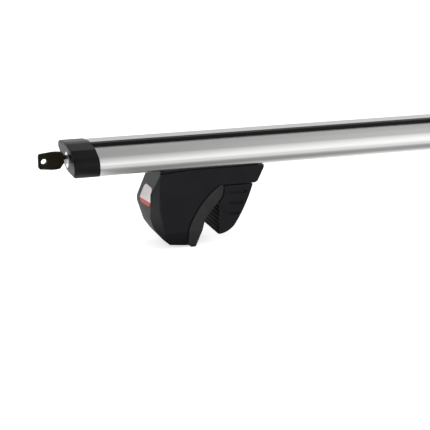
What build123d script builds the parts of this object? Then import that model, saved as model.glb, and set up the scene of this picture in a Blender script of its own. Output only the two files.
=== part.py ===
"""Roof rack crossbar: a wing-shaped aluminium bar on two clamping feet, with locking end caps.

Frame: +X runs along the bar, -Y points to the blunt nose of the wing, +Z is up. The origin is the
middle of the load face, on the crest of the rubber strip. Each end is modelled at the left, where
"inset" is the distance inward from the end of the aluminium, and mirrored for the right.
All sizes are in millimetres.
"""
import os

from build123d import *

os.makedirs("parts", exist_ok=True)

# Bar: wing section, from the nose at -Y to the tail at +Y
bar_length = 1140.0
bar_chord = 82.5
nose_overhang = 40.0
bar_height = 25.5
bar_wall = 1.8
crest_front = 18.0
crest_back = 12.0
brow_drop = 7.4
brow_inset = 2.4
belly_end = 3.0
tail_drop = 1.2
tail_height = 6.8
crest_radius = 40.0
nose_radius = 10.0
chin_radius = 9.0
belly_radius = 45.0
tail_radius = 3.0

# Load slot on top of the bar, and the rubber strip that fills it
slot_mouth = 11.0
slot_lip = 2.0
slot_chamber_width = 20.0
slot_chamber_height = 6.4
strip_rise = 3.1
strip_width = 15.0
strip_crest_width = 8.5
strip_edge = 0.5
strip_barb = 1.2
strip_barb_height = 1.8
strip_clearance = 0.15
strip_crest_radius = 1.0
strip_lip_radius = 0.3

# Guide chamber under the load slot, open to the belly, in which the feet slide
guide_y = -8.0
guide_width = 20.0
guide_floor = 2.2
guide_mouth = 9.0
guide_clearance = 0.3

# End cap
cap_length = 27.0
cap_proud = 0.4
cap_wall = 3.0
cap_gap = 0.3
cap_edge = 1.6
tongue_length = 14.0
tongue_wall = 2.0
tongue_clearance = 0.3
tongue_overlap = 0.5

# Lock in the end cap, and its key
lock_y = -3.0
lock_z = -15.4
lock_flange_diameter = 17.0
lock_flange_height = 2.0
barrel_diameter = 15.0
barrel_length = 24.0
barrel_clearance = 0.1
lock_nut_size = 19.0
lock_nut_height = 3.5
plug_diameter = 11.0
plug_proud = 0.3
plug_clearance = 0.05
plug_tail_diameter = 5.2
cam_inset = 2.6
cam_thickness = 3.0
cam_width = 3.6
cam_hub_diameter = 5.0
cam_reach = 10.0
cam_clearance = 0.3
cam_screw_diameter = 3.0
cam_screw_head_diameter = 5.0
cam_screw_head_height = 2.0
cam_screw_length = 9.0
key_blade_width = 8.0
key_blade_thickness = 2.2
key_blade_depth = 21.0
key_blade_root = 9.0
key_clearance = 0.1
key_bow_length = 27.0
key_bow_height = 19.2
key_bow_widest = 11.0
key_bow_end_height = 15.4
key_bow_shoulder_height = 17.4
key_bow_top_cut = 1.4
key_bow_bottom_cut = 4.3
key_neck_top = 4.6
key_neck_bottom = 2.4
key_bow_thickness = 5.5
key_bow_radius = 2.4
key_bow_crown_radius = 30.0
key_neck_radius = 0.8
key_hole_diameter = 6.2
key_hole_margin = 5.6
key_gap = 1.4

# Foot: the moulded leg, its flange under the bar and the rail arch between leg and jaw
foot_offset = 64.5
foot_centre_y = -2.0
foot_width = 56.0
foot_height = 89.0
foot_length = 117.0
foot_nose_reach = 13.0
foot_nose_drop = 38.5
foot_nose_top = 3.4
foot_nose_radius = 14.0
nose_chamfer = 8.0
nose_facet_reach = 8.0
nose_facet_inset = 6.0
nose_rake = 0.24
nose_rake_start = 42.0
shin_position = -4.5
shin_rise = 22.3
shin_radius = 15.0
ankle_position = 3.5
ankle_rise = 11.3
ankle_radius = 8.0
sole_position = 13.0
sole_rise = 2.6
sole_radius = 3.0
flange_height = 21.2
flange_slant = 7.0
flange_corner = 3.0
flange_corner_rise = 1.6
flange_end_drop = 5.0
flange_end_radius = 4.0
arch_position = 71.5
arch_lean = 1.0
arch_shoulder = 11.8
arch_radius = 8.0
rail_corner_position = 51.0
rail_corner_rise = 33.0
rail_corner_radius = 15.0
toe_position = 37.0
toe_width = 5.5
toe_drop = 2.2
toe_lead = 1.5
toe_radius = 2.0
skirt_height = 20.0
skirt_inset = 8.0
skirt_radius = 4.0
gasket_thickness = 2.0
gasket_inset = 3.0
shadow_drop = 4.6
shadow_length = 60.0
seam_foot = 4.0
seam_lean = 1.5
seam_rise = 21.0
seam_bow_position = 11.5
seam_bow_rise = 13.6
seam_top = 5.5

# Carrier inside the guide chamber, and the screws that hold the housing to it
carrier_length = 60.0
carrier_thickness = 2.5
upstand_thickness = 10.0
upstand_offset = 0.7
foot_screw_diameter = 6.0
foot_screw_head_diameter = 10.0
foot_screw_head_height = 6.0
foot_screw_seat = 14.0
foot_screw_clearance = 0.4
foot_screw_well_clearance = 0.5
foot_screw_first = 20.0
foot_screw_pitch = 26.0

# Clamp screw and the parts on it
screw_diameter = 6.0
screw_head_diameter = 10.0
screw_head_height = 6.0
screw_length = 107.0
screw_socket = 5.0
screw_socket_depth = 4.0
screw_clearance = 0.08
screw_rise = 0.4
washer_diameter = 11.5
washer_thickness = 1.6
ring_diameter = 10.0
ring_thickness = 1.2
ring_groove = 0.4

# Jaw: the sliding inner arm of the clamp
jaw_gap = 0.4
jaw_inset = 1.5
jaw_depth = 54.2
jaw_length = 33.5
jaw_face_offset = 4.8
jaw_top_overhang = 5.0
jaw_relief_gap = 1.0
jaw_relief_lean = 0.4
jaw_relief_height = 11.7
jaw_shoulder = 19.5
jaw_toe_length = 4.0
jaw_toe_rise = 0.6
jaw_heel_length = 18.5
jaw_heel_rise = 9.8
jaw_heel_bow_length = 12.5
jaw_heel_bow_rise = 4.0
jaw_back_bow = 8.4
jaw_back_sag = 1.5
jaw_travel = 15.0
jaw_pad_thickness = 3.0
jaw_pad_height = 33.0
jaw_pad_rib = 0.8
jaw_pad_ribs = 6
jaw_side_wall = 2.0
jaw_groove_depth = 1.2
jaw_groove_height = 3.2
jaw_groove_pitch = 11.5
jaw_groove_top = 7.0
jaw_groove_start = 11.0
jaw_groove_margin = 2.5
jaw_groove_taper = 4.0
jaw_grooves = 3
stem_length = 12.0
stem_offset = 5.0
stem_width = 8.0
stem_anchor = 25.0
stem_block_length = 18.0

# Label on the outer face of the left foot
label_width = 28.0
label_shift = 7.0
label_top = 20.5
label_length = 20.0
label_corner = 5.0
label_thickness = 0.4

# Levels and places that follow from the driving dimensions
bar_top = -strip_rise
belly = bar_top - bar_height
nose_y = -nose_overhang
tail_y = bar_chord - nose_overhang
slot_floor = bar_top - slot_lip - slot_chamber_height
guide_top = slot_floor - bar_wall
guide_bottom = belly + guide_floor
guide_front = guide_y - guide_width / 2
guide_back = guide_y + guide_width / 2
foot_front = foot_centre_y - foot_width / 2
foot_back = foot_centre_y + foot_width / 2
flange_underside = belly - flange_height
carrier_bottom = guide_bottom + guide_clearance
carrier_top = carrier_bottom + carrier_thickness
screw_z = carrier_top + screw_rise + screw_diameter / 2
lock_face = -cap_length - lock_flange_height
foot_top = belly + bar_height / 2


def outline(points, radii):
    """Closed face on straight sides with rounded corners."""
    return make_face(FilletPolyline(*points, radius=radii, close=True))


def along_x(face, start, end):
    """Extrudes a face drawn in (Y, Z) from one X to another."""
    return extrude(Plane.YZ.offset(start) * face, amount=end - start)


def along_y(face, start, end):
    """Extrudes a face drawn in (X, Z) from one Y to another."""
    plane = Plane(origin=(0, end, 0), x_dir=(1, 0, 0), z_dir=(0, -1, 0))
    return extrude(plane * face, amount=end - start)


def rectangle(low_a, high_a, low_b, high_b):
    """Face between two corners."""
    centre = Pos((low_a + high_a) / 2, (low_b + high_b) / 2)
    return centre * Rectangle(high_a - low_a, high_b - low_b)


def block(low_x, high_x, low_y, high_y, low_z, high_z):
    """Box between two corners."""
    return along_x(rectangle(low_y, high_y, low_z, high_z), low_x, high_x)


def rod(start, end, y, z, diameter):
    """Round bar along X."""
    return along_x(Pos(y, z) * Circle(diameter / 2), start, end)


def post(low_z, high_z, x, y, diameter):
    """Round bar along Z."""
    return extrude(Plane.XY.offset(low_z) * Pos(x, y) * Circle(diameter / 2), amount=high_z - low_z)


# Bar extrusion

def wing(growth=0.0):
    """Outer section of the bar in (Y, Z), grown outwards by a distance."""
    points = [
        (-crest_front, bar_top),
        (nose_y + brow_inset, bar_top - brow_drop),
        (nose_y, belly),
        (belly_end, belly),
        (tail_y, bar_top - tail_drop - tail_height),
        (tail_y, bar_top - tail_drop),
        (crest_back, bar_top),
    ]
    radii = [crest_radius, nose_radius, chin_radius, belly_radius, tail_radius, tail_radius, crest_radius]
    face = outline(points, radii)
    if growth:
        face = offset(face, amount=growth)
    return face


def front_chamber():
    """Hollow of the section in front of the guide chamber."""
    return wing(-bar_wall) & rectangle(nose_y, guide_front - bar_wall, belly, bar_top)


def back_chamber():
    """Hollow of the section behind the load slot and the guide chamber."""
    upper = rectangle(slot_chamber_width / 2 + bar_wall, tail_y, belly, bar_top)
    lower = rectangle(guide_back + bar_wall, tail_y, belly, guide_top)
    return wing(-bar_wall) & (upper + lower)


def make_bar():
    """Extrusion with its chambers, and the windows in its web that the lock cams turn into."""
    half = bar_length / 2
    slot = rectangle(-slot_mouth / 2, slot_mouth / 2, slot_floor, bar_top + 1)
    slot += rectangle(-slot_chamber_width / 2, slot_chamber_width / 2, slot_floor, bar_top - slot_lip)
    guide = rectangle(guide_front, guide_back, guide_bottom, guide_top)
    guide += rectangle(guide_y - guide_mouth / 2, guide_y + guide_mouth / 2, belly - 1, guide_top)
    brow = rectangle(guide_front, -slot_chamber_width / 2 - bar_wall, slot_floor, bar_top)
    brow = brow & wing(-bar_wall)
    section = wing() - front_chamber() - back_chamber() - slot - guide - brow
    bar = along_x(section, -half, half)
    window = block(cam_inset - cam_clearance, cam_inset + cam_thickness + cam_clearance,
                   guide_back - 1, guide_back + bar_wall + 1, guide_bottom, guide_top)
    hub = rod(-1, cam_inset + cam_thickness + cam_screw_head_height + cam_clearance, lock_y, lock_z,
              cam_hub_diameter + 2 * cam_clearance)
    for cut in (window, hub):
        left = Pos(-half, 0, 0) * cut
        bar = bar - left - mirror(left, about=Plane.YZ)
    return bar


def make_strip():
    """Rubber infill: a crest that stands proud, a stem in the slot's mouth and barbs below its lips."""
    stem = slot_mouth / 2 - strip_clearance
    neck = bar_top - slot_lip - strip_clearance
    crest = strip_crest_width / 2
    base = strip_width / 2
    points = [(-crest, 0), (-base, bar_top + strip_edge), (-base, bar_top), (-stem, bar_top), (-stem, neck)]
    points += [(-slot_mouth / 2 - strip_barb, neck), (-stem, neck - strip_barb_height)]
    points += [(-y, z) for y, z in reversed(points)]
    radii = [strip_crest_radius, strip_lip_radius, 0, 0, 0, strip_lip_radius, strip_lip_radius]
    return along_x(outline(points, radii + radii[::-1]), -bar_length / 2, bar_length / 2)


# End cap and lock

def make_end_cap():
    """Hollow moulding that butts against the bar, with two tongues that plug into its chambers."""
    end_wall = cap_wall - cap_length
    shell = along_x(wing(cap_proud), -cap_length, -cap_gap)
    rim = shell.faces().sort_by(Axis.X)[0].outer_wire().edges()
    shell = chamfer(rim, cap_edge)
    cap = shell - along_x(wing(cap_proud - cap_wall), end_wall, 0)
    clear_of_cam = lock_y + cam_reach + 2 * cam_clearance + tongue_wall
    back = back_chamber() & rectangle(clear_of_cam, tail_y, belly, bar_top)
    for chamber in (front_chamber(), back):
        outer = offset(chamber, amount=-tongue_clearance)
        inner = offset(chamber, amount=-tongue_clearance - tongue_wall)
        cap += along_x(outer - inner, end_wall - tongue_overlap, tongue_length)
    return cap - rod(-cap_length - 1, end_wall + 1, lock_y, lock_z, barrel_diameter + 2 * barrel_clearance)


def make_lock_barrel():
    """Flanged housing of the lock, bored for the plug."""
    end = lock_face + lock_flange_height + barrel_length
    flange = rod(lock_face, -cap_length, lock_y, lock_z, lock_flange_diameter)
    flange = chamfer(flange.edges().filter_by(GeomType.CIRCLE).sort_by(Axis.X)[0], lock_flange_height / 2)
    body = rod(-cap_length, end, lock_y, lock_z, barrel_diameter)
    return flange + body - rod(lock_face - 1, end + 1, lock_y, lock_z, plug_diameter + 2 * plug_clearance)


def make_lock_nut():
    """Thin hexagon nut that holds the barrel from inside the cap."""
    start = cap_wall - cap_length
    hexagon = Pos(lock_y, lock_z) * RegularPolygon(lock_nut_size / 2, 6, major_radius=False)
    bore = Pos(lock_y, lock_z) * Circle(barrel_diameter / 2)
    return along_x(hexagon - bore, start, start + lock_nut_height)


def make_lock_plug():
    """Turning cylinder with the keyway and a thin tail for the cam."""
    end = lock_face + lock_flange_height + barrel_length
    plug = rod(lock_face - plug_proud, end, lock_y, lock_z, plug_diameter)
    plug += rod(end, cam_inset, lock_y, lock_z, plug_tail_diameter)
    half_thickness = key_blade_thickness / 2 + key_clearance
    half_width = key_blade_width / 2 + key_clearance
    plug -= block(lock_face - plug_proud - 1, lock_face + key_blade_depth + key_clearance,
                  lock_y - half_thickness, lock_y + half_thickness, lock_z - half_width, lock_z + half_width)
    thread_end = cam_inset + cam_thickness - cam_screw_length
    return plug - rod(thread_end, cam_inset + 1, lock_y, lock_z, cam_screw_diameter)


def make_lock_cam():
    """Flat tongue on the plug's tail; it hangs down when the cap is free."""
    hub = Pos(lock_y, lock_z) * Circle(cam_hub_diameter / 2)
    tongue = rectangle(lock_y - cam_width / 2, lock_y + cam_width / 2, lock_z - cam_reach, lock_z)
    tip = tongue.vertices().sort_by(Axis.Y)[:2]
    tongue = fillet(tip, cam_width / 4)
    bore = Pos(lock_y, lock_z) * Circle(cam_screw_diameter / 2)
    return along_x(hub + tongue - bore, cam_inset, cam_inset + cam_thickness)


def make_cam_screw():
    """Small pan-head screw into the plug's tail."""
    seat = cam_inset + cam_thickness
    head = rod(seat, seat + cam_screw_head_height, lock_y, lock_z, cam_screw_head_diameter)
    head = chamfer(head.edges().filter_by(GeomType.CIRCLE).sort_by(Axis.X)[-1], cam_screw_head_height / 4)
    return head + rod(seat - cam_screw_length, seat, lock_y, lock_z, cam_screw_diameter)


def make_key():
    """Flat steel blade and its moulded bow, pushed into the left lock."""
    shoulder = lock_face - key_gap
    blade = block(shoulder - key_blade_root, lock_face + key_blade_depth,
                  lock_y - key_blade_thickness / 2, lock_y + key_blade_thickness / 2,
                  lock_z - key_blade_width / 2, lock_z + key_blade_width / 2)
    tip = blade.edges().filter_by(Axis.Y).group_by(Axis.X)[-1]
    blade = chamfer(tip, key_blade_width / 3)
    end = shoulder - key_bow_length
    widest = shoulder - key_bow_widest
    points = [
        (shoulder, lock_z + key_neck_top),
        (shoulder - key_bow_top_cut, lock_z + key_bow_shoulder_height / 2),
        (widest, lock_z + key_bow_height / 2),
        (end, lock_z + key_bow_end_height / 2),
        (end, lock_z - key_bow_end_height / 2),
        (widest, lock_z - key_bow_height / 2),
        (shoulder - key_bow_bottom_cut, lock_z - key_bow_shoulder_height / 2),
        (shoulder, lock_z - key_neck_bottom),
    ]
    half = [key_neck_radius, key_bow_radius, key_bow_crown_radius, key_bow_radius]
    radii = half + half[::-1]
    hole = Pos(end + key_hole_margin, lock_z) * Circle(key_hole_diameter / 2)
    bow = along_y(outline(points, radii) - hole,
                  lock_y - key_bow_thickness / 2, lock_y + key_bow_thickness / 2)
    return blade, bow - blade


# Foot

def at(position, drop):
    """Point of the foot in (X, Z), from its outer edge on the front face and its depth under the belly."""
    return foot_offset + position, belly - drop


def foot_outline():
    """Side view of the leg and flange, with the rubber saddle pad included."""
    slope = (foot_nose_top + foot_nose_reach) / foot_nose_drop
    heel = foot_height - toe_drop
    corners = [
        (at(foot_nose_top + slope * bar_height, -bar_height), 0),
        (at(-foot_nose_reach, foot_nose_drop), foot_nose_radius),
        (at(shin_position, heel - shin_rise), shin_radius),
        (at(ankle_position, heel - ankle_rise), ankle_radius),
        (at(sole_position, heel - sole_rise), sole_radius),
        (at(toe_position - toe_lead, heel), toe_lead / 2),
        (at(toe_position, foot_height), toe_radius),
        (at(toe_position + toe_width, foot_height), toe_radius),
        (at(rail_corner_position, foot_height - rail_corner_rise), rail_corner_radius),
        (at(arch_position - arch_lean, flange_height + arch_shoulder), arch_radius),
        (at(arch_position, flange_height), 0),
        (at(foot_length - flange_slant - flange_corner, flange_height), flange_corner / 3),
        (at(foot_length - flange_slant, flange_height - flange_corner_rise), flange_corner),
        (at(foot_length, flange_end_drop), flange_end_radius),
        (at(foot_length, -bar_height), 0),
    ]
    return outline([point for point, radius in corners], [radius for point, radius in corners])


def pad_region():
    """Side view of everything under the seam between the housing and the saddle pad."""
    below = 2 * foot_height
    start = toe_position - seam_foot
    bend = at(start - seam_lean, foot_height - seam_rise)
    bow = at(start + seam_bow_position, (foot_height + flange_height) / 2 - seam_bow_rise)
    top = at(arch_position - seam_top, flange_height)
    seam = [
        Polyline(at(start, below), at(start, foot_height), bend),
        ThreePointArc(bend, bow, top),
        Polyline(top, at(arch_position, flange_height), at(arch_position, below), at(start, below)),
    ]
    return make_face(seam)


def foot_envelope():
    """Solid that every foot section is trimmed to: faceted at the outer end and tapered towards the toes."""
    bend = belly - nose_rake_start
    span = 2 * foot_length
    reach = 2 * foot_nose_reach
    back_run = nose_chamfer * reach / foot_nose_reach
    front_run = nose_facet_inset * reach / nose_facet_reach
    plan = outline([
        (foot_offset, foot_front),
        (foot_offset + span, foot_front),
        (foot_offset + span, foot_back),
        (foot_offset, foot_back),
        (foot_offset - reach, foot_back - back_run),
        (foot_offset - reach, foot_front + front_run),
    ], [0] * 6)
    plan = Plane.XY.offset(bend) * plan
    upper = extrude(plan, amount=foot_top - bend)
    lower = extrude(plan, amount=foot_height, dir=(nose_rake, 0, -1))
    skirt = belly - foot_height + skirt_height
    low = belly - foot_height - skirt_height
    pull = skirt_inset * (skirt - low) / skirt_height
    end_view = outline([
        (foot_front, foot_top), (foot_front, skirt), (foot_front + pull, low),
        (foot_back - pull, low), (foot_back, skirt), (foot_back, foot_top),
    ], [0, skirt_radius, 0, 0, skirt_radius, 0])
    taper = along_x(end_view, foot_offset - span, foot_offset + 2 * span)
    facet_front = foot_front + nose_facet_inset
    facet_width = foot_back - nose_chamfer - facet_front
    turn = foot_nose_reach - nose_facet_reach
    facet = outline([
        (foot_offset - nose_facet_reach + turn, facet_front - facet_width),
        (foot_offset + span, facet_front - facet_width),
        (foot_offset + span, foot_back + facet_width),
        (foot_offset - foot_nose_reach - turn, foot_back - nose_chamfer + facet_width),
    ], [0] * 4)
    facet = extrude(Plane.XY.offset(belly - 2 * foot_height) * facet, amount=4 * foot_height)
    return (upper + lower) & taper & facet


def stem_start():
    """Inset of the outer side of the jaw's stem."""
    return foot_offset + arch_position + stem_offset


def screw_places():
    """Insets of the two foot screws."""
    first = foot_offset + foot_screw_first
    return [first, first + foot_screw_pitch]


def make_foot_housing():
    """Leg and flange, hollowed to the wing, with wells for the foot screws and a slot for the jaw's stem."""
    face = foot_outline() - pad_region()
    housing = along_y(face, foot_front, foot_back) & foot_envelope()
    housing -= along_x(wing(gasket_thickness), 0, bar_length / 2)
    shadow = make_face(Polyline(at(0, 0), at(0, shadow_drop), at(shadow_length, 0), close=True))
    housing -= along_y(shadow, foot_front - 1, foot_front + gasket_inset)
    housing -= along_y(shadow, foot_back - gasket_inset, foot_back + 1)
    seat = belly - foot_screw_seat
    well = foot_screw_head_diameter + 2 * foot_screw_well_clearance
    for x in screw_places():
        housing -= post(belly - foot_height - 1, seat, x, guide_y, well)
        housing -= post(seat, foot_top, x, guide_y, foot_screw_diameter + foot_screw_clearance)
    half = stem_width / 2 + guide_clearance
    slot_end = stem_start() + stem_length + jaw_travel
    slot = block(stem_start() - guide_clearance, slot_end + guide_clearance,
                 guide_y - half, guide_y + half, flange_underside - 1, foot_top)
    return housing - slot


def make_saddle_pad():
    """Rubber liner of the rail arch, hooked under the leg's toe."""
    return along_y(foot_outline() & pad_region(), foot_front, foot_back) & foot_envelope()


def make_bar_gasket():
    """Thin rubber sheet between the foot and the belly, split along the guide mouth."""
    skin = wing(gasket_thickness) - wing(guide_clearance)
    edge = gasket_inset
    low = belly - gasket_thickness - 1
    skin = skin & rectangle(foot_front + edge, foot_back - edge, low, bar_top - bar_height / 2)
    mouth = rectangle(guide_y - guide_mouth / 2, guide_y + guide_mouth / 2, low, bar_top)
    return along_x(skin - mouth, foot_offset + 2 * edge, foot_offset + foot_length - 2 * edge)


def make_foot_label():
    """Plain label wrapped over the facets of the leg's outer end."""
    leg = along_y(foot_outline(), foot_front, foot_back) & foot_envelope()
    skin = Pos(-label_thickness, 0, 0) * leg - leg
    middle = foot_centre_y - label_shift
    front = middle - label_width / 2
    back = middle + label_width / 2
    top = belly - label_top
    low = top - label_length
    window = outline([(front, low), (back, low), (back, top), (front, top)], [label_corner] * 4)
    return skin & along_x(window, foot_offset - 2 * foot_nose_reach, foot_offset)


# Carrier and screws

def upstand_start():
    """Inset of the outer face of the carrier's upstand."""
    return foot_offset + washer_thickness + upstand_offset


def make_carrier():
    """Steel plate that slides in the guide chamber, with an upstand that takes the clamp screw's thrust."""
    start = upstand_start()
    half = guide_width / 2 - guide_clearance
    plate = block(start, start + carrier_length, guide_y - half, guide_y + half, carrier_bottom, carrier_top)
    plate += block(start, start + upstand_thickness, guide_y - half, guide_y + half,
                   carrier_bottom, guide_top - guide_clearance)
    plate -= rod(start - 1, start + upstand_thickness + 1, guide_y, screw_z,
                 screw_diameter + 2 * screw_clearance)
    plate -= rod(start + upstand_thickness, ring_start() + ring_thickness + guide_clearance, guide_y, screw_z,
                 ring_diameter + 2 * guide_clearance)
    for x in screw_places():
        plate -= post(carrier_bottom - 1, carrier_top + 1, x, guide_y, foot_screw_diameter)
    return plate


def make_foot_screws():
    """Two socket screws from the wells in the housing up into the carrier."""
    seat = belly - foot_screw_seat
    screws = []
    for x in screw_places():
        head = post(seat - foot_screw_head_height, seat, x, guide_y, foot_screw_head_diameter)
        socket = Pos(x, guide_y) * RegularPolygon(foot_screw_diameter / 2, 6)
        socket = Plane.XY.offset(seat - foot_screw_head_height) * socket
        head -= extrude(socket, amount=foot_screw_head_height / 2)
        screws.append(head + post(seat, carrier_top, x, guide_y, foot_screw_diameter))
    return Compound(children=screws)


def make_clamp_screw():
    """Long socket screw that draws the jaw along the bar."""
    bearing = upstand_start() - washer_thickness
    head = rod(bearing - screw_head_height, bearing, guide_y, screw_z, screw_head_diameter)
    socket = Pos(guide_y, screw_z) * RegularPolygon(screw_socket / 2, 6, major_radius=False)
    head -= along_x(socket, bearing - screw_head_height, bearing - screw_head_height + screw_socket_depth)
    screw = head + rod(bearing, bearing + screw_length, guide_y, screw_z, screw_diameter)
    groove = Pos(guide_y, screw_z) * (Circle(screw_diameter) - Circle(screw_diameter / 2 - ring_groove))
    return screw - along_x(groove, ring_start(), ring_start() + ring_thickness)


def make_thrust_washer():
    """Hard washer between the screw's head and the upstand."""
    end = upstand_start()
    ring = Circle(washer_diameter / 2) - Circle(screw_diameter / 2 + screw_clearance)
    return along_x(Pos(guide_y, screw_z) * ring, end - washer_thickness, end)


def ring_start():
    """Inset of the retaining ring's outer face."""
    return upstand_start() + upstand_thickness + guide_clearance


def make_retaining_ring():
    """Open spring ring in the screw's groove, behind the upstand."""
    ring = Circle(ring_diameter / 2) - Circle(screw_diameter / 2 - ring_groove)
    mouth = rectangle(-screw_diameter / 3, screw_diameter / 3, 0, ring_diameter)
    return along_x(Pos(guide_y, screw_z) * (ring - mouth), ring_start(), ring_start() + ring_thickness)


# Jaw

def jaw_inner():
    """Position of the jaw's rail face along the foot."""
    return arch_position - jaw_face_offset


def jaw_bottom():
    """Depth of the jaw's lower edge under the belly."""
    return flange_height + jaw_gap + jaw_depth


def jaw_outline():
    """Side view of the jaw: straight rail face, relieved above for the saddle pad, and a bowed back."""
    top = flange_height + jaw_gap
    inner = jaw_inner()
    back = inner + jaw_top_overhang + jaw_length
    bottom = jaw_bottom()
    relief = arch_position + jaw_relief_gap
    toe = at(inner + jaw_toe_length, bottom - jaw_toe_rise)
    heel_bow = at(inner + jaw_heel_bow_length, bottom - jaw_heel_bow_rise)
    heel = at(inner + jaw_heel_length, bottom - jaw_heel_rise)
    back_bow = at(back - jaw_back_bow, (top + bottom - jaw_heel_rise) / 2 + jaw_back_sag)
    edges = [
        Polyline(at(back, top), at(relief, top), at(relief - jaw_relief_lean, top + jaw_relief_height),
                 at(inner, top + jaw_shoulder), at(inner, bottom), toe),
        ThreePointArc(toe, heel_bow, heel),
        ThreePointArc(heel, back_bow, at(back, top)),
    ]
    return make_face(edges)


def jaw_pad_top():
    """Depth of the jaw pad's upper edge under the belly."""
    return jaw_bottom() - jaw_pad_height


def pad_seat():
    """Side view of the pocket in the jaw's rail face."""
    x, low = at(jaw_inner(), jaw_bottom())
    top = belly - jaw_pad_top()
    return rectangle(x - 5, x + jaw_pad_thickness, low - 1, top)


def make_jaw_body():
    """Moulded arm with a pocket for its pad, one for its stem, and grip grooves on both sides."""
    front = foot_front + jaw_inset
    back = foot_back - jaw_inset
    jaw = along_y(jaw_outline(), front, back)
    jaw -= along_y(pad_seat(), front + jaw_side_wall, back - jaw_side_wall)
    jaw -= make_jaw_stem()
    start = foot_offset + jaw_inner() + jaw_groove_start
    for number in range(jaw_grooves):
        top = flange_underside - jaw_gap - jaw_groove_top - number * jaw_groove_pitch
        end = foot_offset + jaw_inner() + jaw_length - jaw_groove_margin - jaw_groove_taper * number
        for low, high in ((front, front + jaw_groove_depth), (back - jaw_groove_depth, back)):
            jaw -= block(start, end, low, high, top - jaw_groove_height, top)
    return jaw


def make_jaw_pad():
    """Ribbed rubber facing of the jaw, with a lip under its lower edge."""
    x, low = at(jaw_inner(), jaw_bottom())
    high = belly - jaw_pad_top()
    pitch = (high - low) / (jaw_pad_ribs + 1)
    face = rectangle(x, x + jaw_pad_thickness, low, high)
    for number in range(jaw_pad_ribs + 1):
        middle = low + pitch * (number + 0.3)
        face += rectangle(x - jaw_pad_rib, x + 1, middle - pitch / 4, middle + pitch / 4)
    front = foot_front + jaw_inset + jaw_side_wall
    back = foot_back - jaw_inset - jaw_side_wall
    pad = along_y(face & rectangle(x - 5, x + jaw_pad_thickness, low, high), front, back)
    return pad & along_y(jaw_outline() + rectangle(x - 5, x, low, high), front, back)


def make_jaw_stem():
    """Steel arm moulded into the jaw, with the threaded block that rides in the guide chamber."""
    start = stem_start()
    middle = start + stem_length / 2
    neck = block(start, start + stem_length, guide_y - stem_width / 2, guide_y + stem_width / 2,
                 flange_underside - jaw_gap - stem_anchor, guide_bottom + guide_clearance + 1)
    half = guide_width / 2 - guide_clearance
    head = block(middle - stem_block_length / 2, middle + stem_block_length / 2, guide_y - half, guide_y + half,
                 guide_bottom + guide_clearance, guide_top - guide_clearance)
    thread = rod(middle - stem_block_length, middle + stem_block_length, guide_y, screw_z,
                 screw_diameter + 2 * screw_clearance)
    return neck + head - thread


# Writing the nodes

def write(name, shape):
    """Writes one node."""
    export_step(shape, f"parts/{name}.step")


def write_pair(name, shape):
    """Writes a piece at the left end and its mirror image at the right end."""
    left = Pos(-bar_length / 2, 0, 0) * shape
    write(f"left_{name}", left)
    write(f"right_{name}", mirror(left, about=Plane.YZ))


write("bar_extrusion", make_bar())
write("slot_strip", make_strip())
for node, maker in (
    ("end_cap", make_end_cap),
    ("lock_barrel", make_lock_barrel),
    ("lock_nut", make_lock_nut),
    ("lock_plug", make_lock_plug),
    ("lock_cam", make_lock_cam),
    ("cam_screw", make_cam_screw),
    ("foot_housing", make_foot_housing),
    ("saddle_pad", make_saddle_pad),
    ("bar_gasket", make_bar_gasket),
    ("carrier", make_carrier),
    ("foot_screws", make_foot_screws),
    ("clamp_screw", make_clamp_screw),
    ("thrust_washer", make_thrust_washer),
    ("retaining_ring", make_retaining_ring),
    ("jaw_body", make_jaw_body),
    ("jaw_pad", make_jaw_pad),
    ("jaw_stem", make_jaw_stem),
):
    write_pair(node, maker())
key_blade, key_bow = make_key()
to_left = Pos(-bar_length / 2, 0, 0)
write("key_blade", to_left * key_blade)
write("key_bow", to_left * key_bow)
write("foot_label", to_left * make_foot_label())
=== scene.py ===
import math

import bmesh
import bpy
from mathutils import Matrix, Vector

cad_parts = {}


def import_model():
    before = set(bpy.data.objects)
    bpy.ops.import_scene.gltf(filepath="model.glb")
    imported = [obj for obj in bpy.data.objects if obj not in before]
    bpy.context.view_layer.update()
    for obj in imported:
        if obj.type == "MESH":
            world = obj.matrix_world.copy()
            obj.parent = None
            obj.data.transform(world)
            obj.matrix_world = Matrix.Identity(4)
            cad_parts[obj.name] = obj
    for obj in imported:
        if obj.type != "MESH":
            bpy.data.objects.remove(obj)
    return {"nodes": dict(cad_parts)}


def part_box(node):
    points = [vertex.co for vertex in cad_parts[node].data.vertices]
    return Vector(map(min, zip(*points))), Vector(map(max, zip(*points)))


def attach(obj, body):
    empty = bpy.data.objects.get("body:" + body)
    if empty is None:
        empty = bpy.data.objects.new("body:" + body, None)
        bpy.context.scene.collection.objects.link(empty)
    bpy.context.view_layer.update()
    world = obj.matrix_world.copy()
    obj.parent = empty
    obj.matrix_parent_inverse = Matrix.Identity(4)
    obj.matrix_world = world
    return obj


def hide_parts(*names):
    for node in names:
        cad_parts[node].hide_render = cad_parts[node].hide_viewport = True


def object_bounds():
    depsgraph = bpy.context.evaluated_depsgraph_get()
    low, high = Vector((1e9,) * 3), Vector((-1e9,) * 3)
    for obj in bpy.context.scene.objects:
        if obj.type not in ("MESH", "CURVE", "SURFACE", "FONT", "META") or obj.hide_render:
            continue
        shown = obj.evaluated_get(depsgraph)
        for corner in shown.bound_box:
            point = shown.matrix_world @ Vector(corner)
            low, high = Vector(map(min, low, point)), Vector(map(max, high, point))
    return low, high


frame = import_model()
cad_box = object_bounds()


# Bar
# One aluminium extrusion with a wing section, a load slot on top, a guide slot under its belly and
# hollow chambers between them. It is satin anodised, and the die leaves fine lines along it.

mm = 0.001
bar_low, bar_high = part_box("bar_extrusion")
half_length = bar_high.x
bar_top = bar_high.z
belly = bar_low.z
bar_height = (bar_top - belly) / mm
bar_wall = 1.8
# Cutters reach past the faces that they cut by one of these
overrun, short_overrun = 5, 1
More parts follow.
